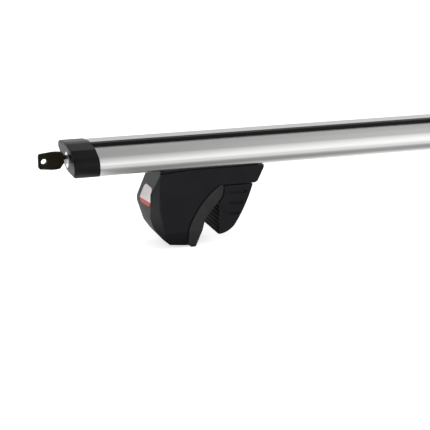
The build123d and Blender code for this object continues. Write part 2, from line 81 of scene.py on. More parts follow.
# Fineness of the roundings, and the turn under which an edge is shaded smooth
smooth_step, shortest_chord = math.radians(3.5), 0.7
smooth_turn = math.radians(32)
weld_reach = 2e-6
# Corners of the wing section: Y, height over the bar's top, radius, from the brow round the nose and the tail
wing = [(-18, 0, 40), (-37.6, -7.4, 10), (-40, -bar_height, 9), (3, -bar_height, 45), (42.5, -8, 3),
        (42.5, -1.2, 3), (12, 0, 40)]
guide_front, guide_back = -18, 2
guide_floor, guide_top = 2.2 - bar_height, -10.2
guide_mouth_front, guide_mouth_back = -12.5, -3.5
slot_half, slot_lip = 5.5, -2
chamber_half, chamber_floor = 10, -8.4
guide_slot = [(guide_mouth_front, -bar_height - overrun), (guide_mouth_front, guide_floor),
              (guide_front, guide_floor), (guide_front, guide_top), (guide_back, guide_top),
              (guide_back, guide_floor), (guide_mouth_back, guide_floor),
              (guide_mouth_back, -bar_height - overrun)]
load_slot = [(slot_half, overrun), (slot_half, slot_lip), (chamber_half, slot_lip),
             (chamber_half, chamber_floor), (-chamber_half, chamber_floor), (-chamber_half, slot_lip),
             (-slot_half, slot_lip), (-slot_half, overrun)]
cam_window_start, cam_window_end = 2.3, 5.9
cam_notch_width, cam_notch_end = 5.6, 7.9
lock_y, lock_height = -3, -12.3


def principled(name, color, roughness, metallic=0.0, specular=0.5):
    """New material; returns it with its shader node."""
    material = bpy.data.materials.new(name)
    material.use_nodes = True
    shader = material.node_tree.nodes["Principled BSDF"]
    shader.inputs["Base Color"].default_value = (*color, 1)
    shader.inputs["Metallic"].default_value = metallic
    shader.inputs["Roughness"].default_value = roughness
    shader.inputs["Specular IOR Level"].default_value = specular
    return material, shader


def object_noise(material, scale, detail=2.0, stretch=(1, 1, 1)):
    """Noise on Object coordinates; returns its value socket."""
    tree = material.node_tree
    coordinates = tree.nodes.new("ShaderNodeTexCoord")
    mapping = tree.nodes.new("ShaderNodeMapping")
    mapping.inputs["Scale"].default_value = stretch
    noise = tree.nodes.new("ShaderNodeTexNoise")
    noise.inputs["Scale"].default_value = scale
    noise.inputs["Detail"].default_value = detail
    tree.links.new(coordinates.outputs["Object"], mapping.inputs["Vector"])
    tree.links.new(mapping.outputs["Vector"], noise.inputs["Vector"])
    return noise.outputs["Fac"]


def ranged(material, value, low, high, start=0.3, end=0.7):
    """Maps a noise value to a range; returns its socket."""
    node = material.node_tree.nodes.new("ShaderNodeMapRange")
    node.inputs["From Min"].default_value = start
    node.inputs["From Max"].default_value = end
    node.inputs["To Min"].default_value = low
    node.inputs["To Max"].default_value = high
    material.node_tree.links.new(value, node.inputs["Value"])
    return node.outputs["Result"]


def tinted(material, value, dark, light, start=0.3, end=0.7):
    """Blends two colours by a noise value; returns its socket."""
    ramp = material.node_tree.nodes.new("ShaderNodeValToRGB")
    ramp.color_ramp.elements[0].position = start
    ramp.color_ramp.elements[0].color = (*dark, 1)
    ramp.color_ramp.elements[1].position = end
    ramp.color_ramp.elements[1].color = (*light, 1)
    material.node_tree.links.new(value, ramp.inputs["Fac"])
    return ramp.outputs["Color"]


def bumped(material, shader, value, distance, strength):
    """Raises the surface by a noise value."""
    bump = material.node_tree.nodes.new("ShaderNodeBump")
    bump.inputs["Strength"].default_value = strength
    bump.inputs["Distance"].default_value = distance
    material.node_tree.links.new(value, bump.inputs["Height"])
    material.node_tree.links.new(bump.outputs["Normal"], shader.inputs["Normal"])


def wire(material, socket, shader, name):
    """Links a value to one of the shader's sockets."""
    material.node_tree.links.new(socket, shader.inputs[name])


def anodised_aluminium():
    """Satin anodised extrusion: fine die lines along X and a faint drift of tone."""
    material, shader = principled("anodised_aluminium", (0.74, 0.74, 0.73), roughness=0.3, metallic=1.0)
    die_lines = object_noise(material, scale=900, stretch=(0.004, 1, 1))
    drift = object_noise(material, scale=14, stretch=(0.3, 1, 1))
    tone = tinted(material, drift, dark=(0.715, 0.715, 0.707), light=(0.765, 0.765, 0.756))
    wire(material, tone, shader, "Base Color")
    wire(material, ranged(material, die_lines, low=0.27, high=0.36), shader, "Roughness")
    bumped(material, shader, die_lines, distance=0.00002, strength=0.3)
    return material


def rounded_face(bm, corners, to_space):
    """Flat face through corners (a, b, radius) in millimetres; each corner is rounded by its radius."""
    verts = [bm.verts.new(to_space(a * mm, b * mm)) for a, b, _ in corners]
    face = bm.faces.new(verts)
    turns = []
    for index, vert in enumerate(verts):
        arriving = (vert.co - verts[index - 1].co).normalized()
        leaving = (verts[(index + 1) % len(verts)].co - vert.co).normalized()
        turns.append(arriving.angle(leaving))
    for vert, turn, (_, _, radius) in zip(verts, turns, corners):
        if radius:
            steps = min(math.ceil(turn / smooth_step), math.ceil(radius * turn / shortest_chord))
            reach = radius * mm * math.tan(turn / 2)
            made = bmesh.ops.bevel(bm, geom=[vert], affect="VERTICES", offset=reach, offset_type="OFFSET",
                                   segments=max(2, steps), profile=0.5, material=-1)
            face = made["verts"][0].link_faces[0]
    return face


def in_section(x):
    """Places a section drawn in (Y, height over the bar's top) at an X."""
    return lambda a, b: Vector((x, a, bar_top + b))


def pushed(bm, faces, offset):
    """Extrudes faces to a closed solid."""
    grown = bmesh.ops.extrude_face_region(bm, geom=faces)
    verts = [item for item in grown["geom"] if isinstance(item, bmesh.types.BMVert)]
    bmesh.ops.translate(bm, verts=verts, vec=offset)


def trimmed(bm, face, point, normal):
    """Cuts a face along a plane and drops what lies on the normal's side; returns the rest."""
    geometry = [face, *face.edges, *face.verts]
    cut = bmesh.ops.bisect_plane(bm, geom=geometry, plane_co=point, plane_no=normal, clear_outer=True)
    return next(item for item in cut["geom"] if isinstance(item, bmesh.types.BMFace))


def grown_corners(corners, growth):
    """Corners of an outline moved outwards by a distance, with their radii."""
    count = len(corners)
    sides = []
    for index in range(count):
        start = Vector(corners[index][:2])
        along = (Vector(corners[(index + 1) % count][:2]) - start).normalized()
        outward = Vector((along.y, -along.x))
        sides.append((start + outward * growth, along))
    result = []
    for index, (_, _, radius) in enumerate(corners):
        (a, along_a), (b, along_b) = sides[index - 1], sides[index]
        gap = b - a
        reach = (gap.x * along_b.y - gap.y * along_b.x) / (along_a.x * along_b.y - along_a.y * along_b.x)
        point = a + along_a * reach
        result.append((point.x, point.y, max(radius + growth, 0)))
    return result


def before(y):
    """Limit of a section that keeps what lies before a Y in millimetres."""
    return Vector((0, y * mm, 0)), Vector((0, 1, 0))


def behind(y):
    """Limit of a section that keeps what lies behind a Y in millimetres."""
    return Vector((0, y * mm, 0)), Vector((0, -1, 0))


def under(height):
    """Limit of a section that keeps what lies under a height over the bar's top in millimetres."""
    return Vector((0, 0, bar_top + height * mm)), Vector((0, 0, 1))


def over(height):
    """Limit of a section that keeps what lies over a height over the bar's top in millimetres."""
    return Vector((0, 0, bar_top + height * mm)), Vector((0, 0, -1))


def wing_prism(start, end, growth=0, limits=(), outline=wing):
    """Solid of a wing section, grown by a distance in millimetres and trimmed to limits, between two X."""
    bm = bmesh.new()
    face = rounded_face(bm, grown_corners(outline, growth), in_section(start))
    for point, normal in limits:
        face = trimmed(bm, face, point, normal)
    pushed(bm, [face], Vector((end - start, 0, 0)))
    return bm


def section_prism(corners, start, end):
    """Solid of a sharp-cornered section in (Y, height over the bar's top) between two X."""
    bm = bmesh.new()
    face = rounded_face(bm, [(y, z, 0) for y, z in corners], in_section(start))
    pushed(bm, [face], Vector((end - start, 0, 0)))
    return bm


def block(low, high):
    """Box between two corners in metres."""
    bm = bmesh.new()
    bmesh.ops.create_cube(bm, size=1)
    bmesh.ops.scale(bm, verts=bm.verts, vec=Vector(high) - Vector(low))
    bmesh.ops.translate(bm, verts=bm.verts, vec=(Vector(low) + Vector(high)) / 2)
    return bm


def round_bar(start, end, diameter, steps=48):
    """Closed cylinder between two points in metres."""
    bm = bmesh.new()
    start, end = Vector(start), Vector(end)
    radius = diameter * mm / 2
    turn = (end - start).to_track_quat("Z", "Y").to_matrix().to_4x4()
    bmesh.ops.create_cone(bm, cap_ends=True, segments=steps, radius1=radius, radius2=radius,
                          depth=(end - start).length, matrix=Matrix.Translation((start + end) / 2) @ turn)
    return bm


def inset_x(inset):
    """X in metres of a distance inwards from the left end of the bar."""
    return -half_length + inset * mm


def on_lock(inset, y=0, z=0):
    """Point by the left lock's axis, in millimetres from it."""
    return Vector((inset_x(inset), (lock_y + y) * mm, bar_top + (lock_height + z) * mm))


def as_object(name, bm):
    """Object of a mesh, which is used up."""
    mesh = bpy.data.meshes.new(name)
    bm.to_mesh(mesh)
    bm.free()
    item = bpy.data.objects.new(name, mesh)
    bpy.context.scene.collection.objects.link(item)
    return item


def carved(bm, tools, operation="DIFFERENCE"):
    """Cuts solids out of a solid, joins them to it or keeps what they share; uses up the meshes it gets."""
    for solid in (bm, *tools):
        bmesh.ops.recalc_face_normals(solid, faces=solid.faces)
    blank = as_object("blank", bm)
    cutters = [as_object("cutter", tool) for tool in tools]
    for cutter in cutters:
        step = blank.modifiers.new("step", "BOOLEAN")
        step.operation = operation
        step.solver = "MANIFOLD"
        step.object = cutter
    shape = bpy.data.meshes.new_from_object(blank.evaluated_get(bpy.context.evaluated_depsgraph_get()))
    result = bmesh.new()
    result.from_mesh(shape)
    for item in (blank, *cutters):
        bpy.data.objects.remove(item)
    return result


def at_end(bm, side):
    """Piece of the left end as it is, or mirrored to the right end."""
    if side == "right":
        bmesh.ops.scale(bm, verts=bm.verts, vec=(-1, 1, 1))
    return bm


def finished(name, bm, body, nodes, material):
    """Turns a mesh into a smooth-shaded piece that stands for CAD nodes and moves with a body."""
    bmesh.ops.remove_doubles(bm, verts=bm.verts, dist=weld_reach)
    bmesh.ops.recalc_face_normals(bm, faces=bm.faces)
    for face in bm.faces:
        face.smooth = True
    for edge in bm.edges:
        edge.smooth = edge.calc_face_angle(math.pi) < smooth_turn
    piece = as_object(name, bm)
    piece.data.materials.append(material)
    flat_faces_first = piece.modifiers.new("flat_faces_first", "WEIGHTED_NORMAL")
    flat_faces_first.keep_sharp = True
    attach(piece, body)
    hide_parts(*nodes)


bar_ends = (-half_length, half_length)
past_ends = (-half_length - overrun * mm, half_length + overrun * mm)
hollows = [
    wing_prism(*past_ends, -bar_wall, [before(guide_front - bar_wall)]),
    wing_prism(*past_ends, -bar_wall,
               [behind(guide_front), before(-chamber_half - bar_wall), over(chamber_floor)]),
    wing_prism(*past_ends, -bar_wall, [behind(chamber_half + bar_wall)]),
    wing_prism(*past_ends, -bar_wall, [behind(guide_back + bar_wall), under(guide_top)]),
    section_prism(guide_slot, *past_ends),
    section_prism(load_slot, *past_ends),
]
window_front, window_back = guide_back - short_overrun, guide_back + bar_wall + short_overrun
for side in ("left", "right"):
    window = block((inset_x(cam_window_start), window_front * mm, bar_top + guide_floor * mm),
                   (inset_x(cam_window_end), window_back * mm, bar_top + guide_top * mm))
    notch = round_bar(on_lock(-short_overrun), on_lock(cam_notch_end), cam_notch_width)
    hollows += [at_end(window, side), at_end(notch, side)]
bar_mesh = carved(wing_prism(*bar_ends), hollows)
finished("bar_wing", bar_mesh, "bar", ["bar_extrusion"], anodised_aluminium())


# Rubber strip
# Extruded black rubber that fills the load slot along the whole bar. A flat crest stands proud of the bar,
# its thin lips lie on the aluminium, and the barbs under the slot's lips hold it in place.

# Corners of the front half of its section: Y, height over the bar's top, radius
strip_half = [(-4.25, 3.1, 1), (-7.5, 0.5, 0.3), (-7.5, 0, 0), (-5.35, 0, 0), (-5.35, -2.15, 0),
              (-6.7, -2.15, 0.3), (-5.35, -3.95, 0.3)]


def strip_rubber():
    """Matte extruded rubber with faint draw lines along it."""
    material, shader = principled("strip_rubber", (0.003, 0.003, 0.003), roughness=0.45, specular=0.1)
    draw_lines = object_noise(material, scale=1400, stretch=(0.006, 1, 1))
    bloom = object_noise(material, scale=60, detail=3, stretch=(0.2, 1, 1))
    tone = tinted(material, bloom, dark=(0.002, 0.002, 0.002), light=(0.004, 0.004, 0.004))
    wire(material, tone, shader, "Base Color")
    wire(material, ranged(material, draw_lines, low=0.36, high=0.5), shader, "Roughness")
    bumped(material, shader, draw_lines, distance=0.00003, strength=0.4)
    return material


strip_mesh = bmesh.new()
strip_outline = strip_half + [(-y, z, radius) for y, z, radius in reversed(strip_half)]
strip_face = rounded_face(strip_mesh, strip_outline, in_section(-half_length))
pushed(strip_mesh, [strip_face], Vector((2 * half_length, 0, 0)))
finished("load_strip", strip_mesh, "bar", ["slot_strip"], strip_rubber())


# Foot housings
# The large moulded leg of each foot, in black plastic with a fine spark grain. It hugs the belly with a
# flange, bulges into a chamfered nose at its outer end, and two screws hold it to a plate in the bar.

foot_edge = -505.5
foot_front, foot_back = -30, 26
foot_top = -bar_height / 2
gasket_gap = 2
hug_start, hug_end = -50, 150
nose_root, nose_reach, nose_drop, nose_chamfer = 3.4, 13, 38.5, 8
nose_lean = (nose_root + nose_reach) / nose_drop
facet_reach, facet_inset, facet_weld = 8, 6, 0.1
rake, rake_start = 0.24, 42
skirt_start, skirt_height, skirt_inset = 69, 20, 8
flange_drop = 21.2
seam_foot, seam_bend = (32.8, 86.5), (31.5, 68)
seam_bow, seam_top = (40, 38.15, 78), (66, flange_drop)
# Corners of the leg in its side view: distance from the foot's outer edge, depth under the belly, radius
housing_side = [(nose_root - nose_lean * foot_top, foot_top, 0), (-nose_reach, nose_drop, 14),
                (-4.5, 64.5, 15), (3.5, 75.5, 8), (13, 84.2, 3), (*seam_foot, 0), (*seam_bend, 0), seam_bow,
                (*seam_top, 0), (107, flange_drop, 0), (110, 19.6, 0), (117, 5, 4), (117, foot_top, 0)]
leg_edge = 1.2
soft_turn, soft_steps = math.radians(20), 3
shadow_drop, shadow_length, shadow_depth = 4.6, 60, 3
screw_axis = -8
well_positions, well_diameter, well_top, well_bottom = (20, 46), 11, 14, 100
stem_slot_positions, stem_slot_sides = (76.2, 103.8), (-12.3, -3.7)


def on_foot(y):
    """Places a side view of the left foot at a Y in millimetres."""
    return lambda a, b: Vector((foot_edge * mm + a, y * mm, belly - b))


def foot_prism(corners, front, back):
    """Solid of a side view of the left foot between two Y in millimetres."""
    bm = bmesh.new()
    face = rounded_face(bm, corners, on_foot(front))
    pushed(bm, [face], Vector((0, (back - front) * mm, 0)))
    return bm


def foot_block(positions, sides, drops):
    """Box on the left foot between two positions, two Y and two depths in millimetres."""
    return block(((foot_edge + positions[0]) * mm, sides[0] * mm, belly - drops[1] * mm),
                 ((foot_edge + positions[1]) * mm, sides[1] * mm, belly - drops[0] * mm))


def sliced(bm, point, normal):
    """Cuts a solid along a plane, drops what lies on the normal's side and closes the cut."""
    geometry = [*bm.verts, *bm.edges, *bm.faces]
    cut = bmesh.ops.bisect_plane(bm, geom=geometry, plane_co=point, plane_no=normal, clear_outer=True)
    rim = [item for item in cut["geom_cut"] if isinstance(item, bmesh.types.BMEdge)]
    if rim:
        bmesh.ops.edgenet_fill(bm, edges=rim)


def moulded_ends(bm):
    """Trims a leg to the facets of its nose and to its tapering skirt."""
    corners = ((foot_front, -1, facet_reach, facet_inset), (foot_back, 1, nose_reach, nose_chamfer))
    for y, side, reach, inset in corners:
        edge = Vector((foot_edge * mm, y * mm, belly - rake_start * mm))
        sliced(bm, edge, Vector((-inset, side * reach, 0)))
        sliced(bm, edge, Vector((-inset, side * reach, -inset * rake)))
        hem = Vector((0, y * mm, belly - skirt_start * mm))
        sliced(bm, hem, Vector((0, side * skirt_height, -skirt_inset)))
    back_edge = on_foot(foot_back - nose_chamfer)(-nose_reach * mm, nose_drop * mm)
    sliced(bm, back_edge, Vector((-nose_chamfer, nose_reach, nose_chamfer * nose_lean)))
    facet_width = foot_back - nose_chamfer - foot_front - facet_inset
    facet_edge = Vector(((foot_edge - facet_reach) * mm, (foot_front + facet_inset) * mm, 0))
    sliced(bm, facet_edge, Vector((-facet_width, facet_reach - nose_reach, 0)))
    bmesh.ops.remove_doubles(bm, verts=bm.verts, dist=facet_weld * mm)


def softened(bm, width):
    """Rounds every edge of a solid where its faces turn sharply."""
    bmesh.ops.recalc_face_normals(bm, faces=bm.faces)
    edges = [edge for edge in bm.edges if edge.calc_face_angle(0) > soft_turn]
    bmesh.ops.bevel(bm, geom=edges, affect="EDGES", offset=width * mm, offset_type="OFFSET",
                    segments=soft_steps, profile=0.5, material=-1)


def spark_grained(name, dark, light, roughness, specular, grain):
    """Black moulded plastic with a spark-eroded grain."""
    material, shader = principled(name, light, roughness, specular=specular)
    grains = object_noise(material, scale=1500, detail=3)
    patches = object_noise(material, scale=45)
    wire(material, tinted(material, patches, dark, light), shader, "Base Color")
    gloss = ranged(material, grains, low=roughness - 0.08, high=roughness + 0.1)
    wire(material, gloss, shader, "Roughness")
    bumped(material, shader, grains, distance=grain, strength=0.5)
    return material


def foot_blank():
    """Left leg as a softened moulding, not yet hollowed."""
    bm = foot_prism(housing_side, foot_front, foot_back)
    moulded_ends(bm)
    softened(bm, leg_edge)
    return bm


def foot_housing():
    """Left leg, hollowed to the bar with the gasket's gap, and with wells and the jaw's slot."""
    shadow = [(0, 0, 0), (0, shadow_drop, 0), (shadow_length, 0, 0)]
    tools = [
        wing_prism((foot_edge + hug_start) * mm, (foot_edge + hug_end) * mm, gasket_gap),
        foot_prism(shadow, foot_front - short_overrun, foot_front + shadow_depth),
        foot_prism(shadow, foot_back - shadow_depth, foot_back + short_overrun),
    ]
    on_screws = on_foot(screw_axis)
    for position in well_positions:
        start, end = on_screws(position * mm, well_bottom * mm), on_screws(position * mm, well_top * mm)
        tools.append(round_bar(start, end, well_diameter))
    tools.append(foot_block(stem_slot_positions, stem_slot_sides, (0, flange_drop + short_overrun)))
    return carved(foot_blank(), tools)


foot_plastic = spark_grained("foot_plastic", dark=(0.0028, 0.0027, 0.0038), light=(0.0045, 0.0043, 0.006),
                             roughness=0.42, specular=0.27, grain=0.00004)
for side in ("left", "right"):
    housing = at_end(foot_housing(), side)
    finished(f"{side}_leg", housing, f"{side}_foot", [f"{side}_foot_housing"], foot_plastic)


# Saddle pads and gaskets
# The rail side of each leg is a thick moulded rubber liner, hooked under the toe and seen as a paler band
# behind a dark seam. A thin sheet of the same rubber lies between the foot and the bar.

saddle_side = [(*seam_foot, 0), (35.5, 86.8, 0), (37, 89, 0), (42.5, 89, 0), (51, 56, 15), (70.5, 33, 8),
               (71.5, flange_drop, 0), (*seam_top, 0), seam_bow, (*seam_bend, 0)]
saddle_edge = 0.8
seam_line = [(*seam_foot, 0), (*seam_bend, 0), seam_bow, (*seam_top, 0)]
seam_width, seam_depth = 0.9, 8


def pad_rubber(name, dark, light, specular):
    """Matte moulded rubber, a little dusty."""
    material, shader = principled(name, light, roughness=0.55, specular=specular)
    dust = object_noise(material, scale=220, detail=4)
    patches = object_noise(material, scale=35)
    wire(material, tinted(material, patches, dark, light), shader, "Base Color")
    wire(material, ranged(material, dust, low=0.5, high=0.6), shader, "Roughness")
    bumped(material, shader, dust, distance=0.00003, strength=0.3)
    return material


def saddle_pad():
    """Left liner, trimmed to the same skirt as the leg, with a groove along its seam on both sides."""
    bm = foot_prism(saddle_side, foot_front, foot_back)
    moulded_ends(bm)
    softened(bm, saddle_edge)
    groove = []
    for step, line in ((-seam_width, seam_line), (seam_width, reversed(seam_line))):
        groove += [(position + step, drop + step / 2, radius) for position, drop, radius in line]
    grooves = [foot_prism(groove, foot_front - short_overrun, foot_front + seam_depth),
               foot_prism(groove, foot_back - seam_depth, foot_back + short_overrun)]
    return carved(bm, grooves)


def dressed(node, material):
    """Gives a CAD node that keeps its own shape a finish."""
    for slot in frame["nodes"][node].material_slots:
        slot.material = material


rubber = pad_rubber("pad_rubber", dark=(0.011, 0.011, 0.012), light=(0.017, 0.017, 0.018), specular=0.3)
for side in ("left", "right"):
    pad = at_end(saddle_pad(), side)
    finished(f"{side}_saddle", pad, f"{side}_foot", [f"{side}_saddle_pad"], rubber)
    dressed(f"{side}_bar_gasket", rubber)


# Foot label
# A plain printed film with rounded corners, pale above and red-orange below, glued over the bend of the
# left foot's nose.

label_front, label_back = -23, 5
label_top, label_bottom = 20.5, 40.5
label_thickness, label_corner = 0.4, 5
label_border, label_blur = 35.5, 0.2


def label_film():
    """Glossy printed film in two fields of colour."""
    material, shader = principled("label_film", (0.5, 0.48, 0.48), roughness=0.3, specular=0.18)
    tree = material.node_tree
    place = tree.nodes.new("ShaderNodeTexCoord")
    height = tree.nodes.new("ShaderNodeSeparateXYZ")
    tree.links.new(place.outputs["Object"], height.inputs["Vector"])
    border = belly - label_border * mm
    field = ranged(material, height.outputs["Z"], low=0, high=1, start=border - label_blur * mm,
                   end=border + label_blur * mm)
    print_color = tinted(material, field, dark=(0.42, 0.05, 0.025), light=(0.58, 0.54, 0.54), start=0.45,
                         end=0.55)
    wire(material, print_color, shader, "Base Color")
    wrinkles = object_noise(material, scale=90)
    bumped(material, shader, wrinkles, distance=0.0001, strength=0.3)
    return material


def label_patch():
    """Skin of the nose inside the label's rounded outline."""
    window = bmesh.new()
    corners = [(label_front, label_top, label_corner), (label_back, label_top, label_corner),
               (label_back, label_bottom, label_corner), (label_front, label_bottom, label_corner)]
    window_x = (foot_edge - 2 * nose_reach) * mm
    face = rounded_face(window, corners, lambda a, b: Vector((window_x, a, belly - b)))
    pushed(window, [face], Vector((2 * nose_reach * mm, 0, 0)))
    outside = foot_blank()
    bmesh.ops.translate(outside, verts=outside.verts, vec=(-label_thickness * mm, 0, 0))
    return carved(carved(outside, [window], "INTERSECT"), [foot_blank()])


finished("nose_label", label_patch(), "left_foot", ["foot_label"], label_film())


# Clamp mechanism
# Zinc-plated steel inside the bar and the feet: the carrier plates and their screws, the long clamp screws
# with washer and retaining ring, and the stems that pull the jaws. They keep their machined shapes.

def zinc_steel():
    """Bright zinc plate with a faint yellowish cloud and fine scratches."""
    material, shader = principled("zinc_steel", (0.6, 0.6, 0.57), roughness=0.36, metallic=1.0)
    cloud = object_noise(material, scale=160, detail=3)
    scratches = object_noise(material, scale=900, stretch=(0.1, 1, 1))
    tone = tinted(material, cloud, dark=(0.52, 0.52, 0.5), light=(0.66, 0.66, 0.62))
    wire(material, tone, shader, "Base Color")
    wire(material, ranged(material, scratches, low=0.28, high=0.46), shader, "Roughness")
    return material


zinc = zinc_steel()
for side in ("left", "right"):
    for node in ("carrier", "foot_screws", "clamp_screw", "thrust_washer", "retaining_ring", "jaw_stem"):
        dressed(f"{side}_{node}", zinc)


# Jaws
# The sliding inner arm of each clamp, moulded in the leg's plastic with three grip grooves on each side.
# A ribbed rubber facing sits in a pocket in its rail face.

jaw_front, jaw_back = -28.5, 24.5
jaw_face, jaw_top, jaw_foot = 66.7, 22.2, 75.8
jaw_side = [(105.2, jaw_top, 0), (72.5, jaw_top, 0), (72.1, 33.3, 0), (jaw_face, 41.1, 0),
            (jaw_face, jaw_foot, 0), (79.83, 73.56, 22), (99.01, 45.52, 135)]
jaw_edge, jaw_wall = 1.1, 2
pocket_top, pocket_depth = 42.8, 3
groove_count, groove_top, groove_pitch, groove_height, groove_depth = 3, 28.6, 11.5, 3.2, 1.8
groove_start, groove_end, groove_taper = 77.7, 97.7, 4
groove_rounding = 0.45 * groove_height
rib_count, rib_proud, rib_slope, rib_start = 7, 0.8, 0.4, 0.3


def jaw_body():
    """Left arm: softened, with a pocket for the facing and grip grooves."""
    bm = foot_prism(jaw_side, jaw_front, jaw_back)
    softened(bm, jaw_edge)
    tools = [foot_block((jaw_face - overrun, jaw_face + pocket_depth),
                        (jaw_front + jaw_wall, jaw_back - jaw_wall), (pocket_top, jaw_foot + overrun))]
    front_skin = (jaw_front - short_overrun, jaw_front + groove_depth)
    back_skin = (jaw_back - groove_depth, jaw_back + short_overrun)
    for number in range(groove_count):
        positions = (groove_start, groove_end - groove_taper * number)
        top = groove_top + number * groove_pitch
        for skin in (front_skin, back_skin):
            groove = foot_block(positions, skin, (top, top + groove_height))
            ends = [edge for edge in groove.edges
                    if abs(edge.verts[0].co.y - edge.verts[1].co.y) > weld_reach]
            bmesh.ops.bevel(groove, geom=ends, affect="EDGES", offset=groove_rounding * mm,
                            offset_type="OFFSET", segments=4, profile=0.5, material=-1)
            tools.append(groove)
    return carved(bm, tools)


def jaw_pad():
    """Left facing: a slab with horizontal ribs that grip the rail."""
    pitch = (jaw_foot - pocket_top) / rib_count
    ribs = []
    for number in range(rib_count):
        middle = jaw_foot - pitch * (number + rib_start)
        low, high = min(middle + pitch / 4, jaw_foot), middle - pitch / 4
        ribs += [(jaw_face, low, 0), (jaw_face - rib_proud, low - rib_slope, 0),
                 (jaw_face - rib_proud, high + rib_slope, 0), (jaw_face, high, 0)]
    slab = [(jaw_face, pocket_top, 0), (jaw_face + pocket_depth, pocket_top, 0),
            (jaw_face + pocket_depth, jaw_foot, 0)]
    return foot_prism(ribs + slab, jaw_front + jaw_wall, jaw_back - jaw_wall)


facing_rubber = pad_rubber("facing_rubber", dark=(0.002, 0.002, 0.002), light=(0.004, 0.004, 0.004),
                           specular=0.05)
for side in ("left", "right"):
    arm, facing = at_end(jaw_body(), side), at_end(jaw_pad(), side)
    finished(f"{side}_arm", arm, f"{side}_jaw", [f"{side}_jaw_body"], foot_plastic)
    finished(f"{side}_facing", facing, f"{side}_jaw", [f"{side}_jaw_pad"], facing_rubber)


# End caps
# Hollow mouldings in satin black plastic that close the bar's ends. Two tongues plug into its chambers,
# and the end wall has a round hole for the lock.

cap_outer, cap_inner = -27, -0.3
cap_proud, cap_wall, cap_rim = 0.4, 3, 2.6
tongue_clearance, tongue_wall, tongue_root = 0.3, 2, 0.5
tongue_start, tongue_end = cap_outer + cap_wall - tongue_root, 14
lock_hole = 15.2
turned_steps = 64
# The cap follows the wing, but for a low hump that covers the end of the rubber strip
hump = [(12, 2.6, 25), (2, 2.6, 25), (-19, 0, 6)]
cap_section = hump + wing[1:-1]


def tongue_core(clearance, extra, front):
    """Solid in the bar's front or back chamber, clear of its walls, as long as a tongue and an extra."""
    if front:
        limit = before(guide_front - bar_wall - clearance)
    else:
        limit = behind(chamber_half + bar_wall + clearance)
    start, end = inset_x(tongue_start - extra), inset_x(tongue_end + extra)
    return wing_prism(start, end, -bar_wall - clearance, [limit])


def tongue(front):
    """Open sleeve that fits the front or back chamber of the bar."""
    sleeve = tongue_core(tongue_clearance, 0, front)
    return carved(sleeve, [tongue_core(tongue_clearance + tongue_wall, overrun, front)])


def end_cap():
    """Left cap: a rounded cup with its two tongues."""
    bm = wing_prism(inset_x(cap_outer), inset_x(cap_inner), cap_proud, outline=cap_section)
    bmesh.ops.recalc_face_normals(bm, faces=bm.faces)
    end_face = min(bm.faces, key=lambda face: face.calc_center_median().x)
    bmesh.ops.bevel(bm, geom=end_face.edges[:], affect="EDGES", offset=cap_rim * mm, offset_type="OFFSET",
                    segments=5, profile=0.5, material=-1)
    hollow = wing_prism(inset_x(cap_outer + cap_wall), inset_x(cap_inner + overrun), cap_proud - cap_wall,
                        outline=cap_section)
    cup = carved(bm, [hollow])
    cup = carved(cup, [tongue(front=True), tongue(front=False)], "UNION")
    hole = round_bar(on_lock(cap_outer - short_overrun), on_lock(cap_outer + cap_wall + short_overrun),
                     lock_hole, turned_steps)
    return carved(cup, [hole])


cap_plastic = spark_grained("cap_plastic", dark=(0.002, 0.002, 0.0025), light=(0.003, 0.003, 0.0035),
                            roughness=0.33, specular=0.14, grain=0.00002)
for side in ("left", "right"):
    cap = at_end(end_cap(), side)
    finished(f"{side}_cap_shell", cap, f"{side}_cap", [f"{side}_end_cap"], cap_plastic)


# Locks
# A chromed barrel with a flat flange in each cap, held by a nut from inside, and the plug that the key turns.
# The steel cam on the plug's tail swings into a window of the bar.

flange_face, flange_radius, flange_chamfer = -27.4, 8.5, 0.1
barrel_radius, barrel_end = 7.5, -3
bore_radius, bore_chamfer, bore_chamfer_depth = 5.55, 0.1, 0.2
plug_face, plug_radius, plug_chamfer = -27.4, 5.5, 0.2
plug_tail_radius, plug_tail_end = 2.6, 2.6
keyway_width, keyway_height, keyway_end = 2.4, 8.2, -7.9


def spun(profile, closed):
    """Turned piece about the left lock's axis, from (inset, radius) points in millimetres."""
    bm = bmesh.new()
    verts = [bm.verts.new(on_lock(inset, z=radius)) for inset, radius in profile]
    pairs = list(zip(verts, verts[1:])) + ([(verts[-1], verts[0])] if closed else [])
    edges = [bm.edges.new(pair) for pair in pairs]
    bmesh.ops.spin(bm, geom=verts + edges, cent=on_lock(0), axis=(1, 0, 0), angle=math.tau,
                   steps=turned_steps, use_merge=True)
    bmesh.ops.remove_doubles(bm, verts=bm.verts, dist=weld_reach)
    return bm


def lock_barrel():
    """Left barrel: a flat flange with a softened rim, a chamfered bore and a plain body."""
    profile = [(flange_face + bore_chamfer_depth, bore_radius), (flange_face, bore_radius + bore_chamfer),
               (flange_face, flange_radius - flange_chamfer), (flange_face + flange_chamfer, flange_radius),
               (cap_outer, flange_radius), (cap_outer, barrel_radius), (barrel_end, barrel_radius),
               (barrel_end, bore_radius)]
    return spun(profile, closed=True)


def lock_plug():
    """Left plug: a chamfered cylinder with its keyway and a thin tail."""
    profile = [(plug_face, 0), (plug_face, plug_radius - plug_chamfer),
               (plug_face + plug_chamfer, plug_radius), (barrel_end, plug_radius),
               (barrel_end, plug_tail_radius), (plug_tail_end, plug_tail_radius), (plug_tail_end, 0)]
    keyway = block(on_lock(plug_face - short_overrun, -keyway_width / 2, -keyway_height / 2),
                   on_lock(keyway_end, keyway_width / 2, keyway_height / 2))
    return carved(spun(profile, closed=False), [keyway])


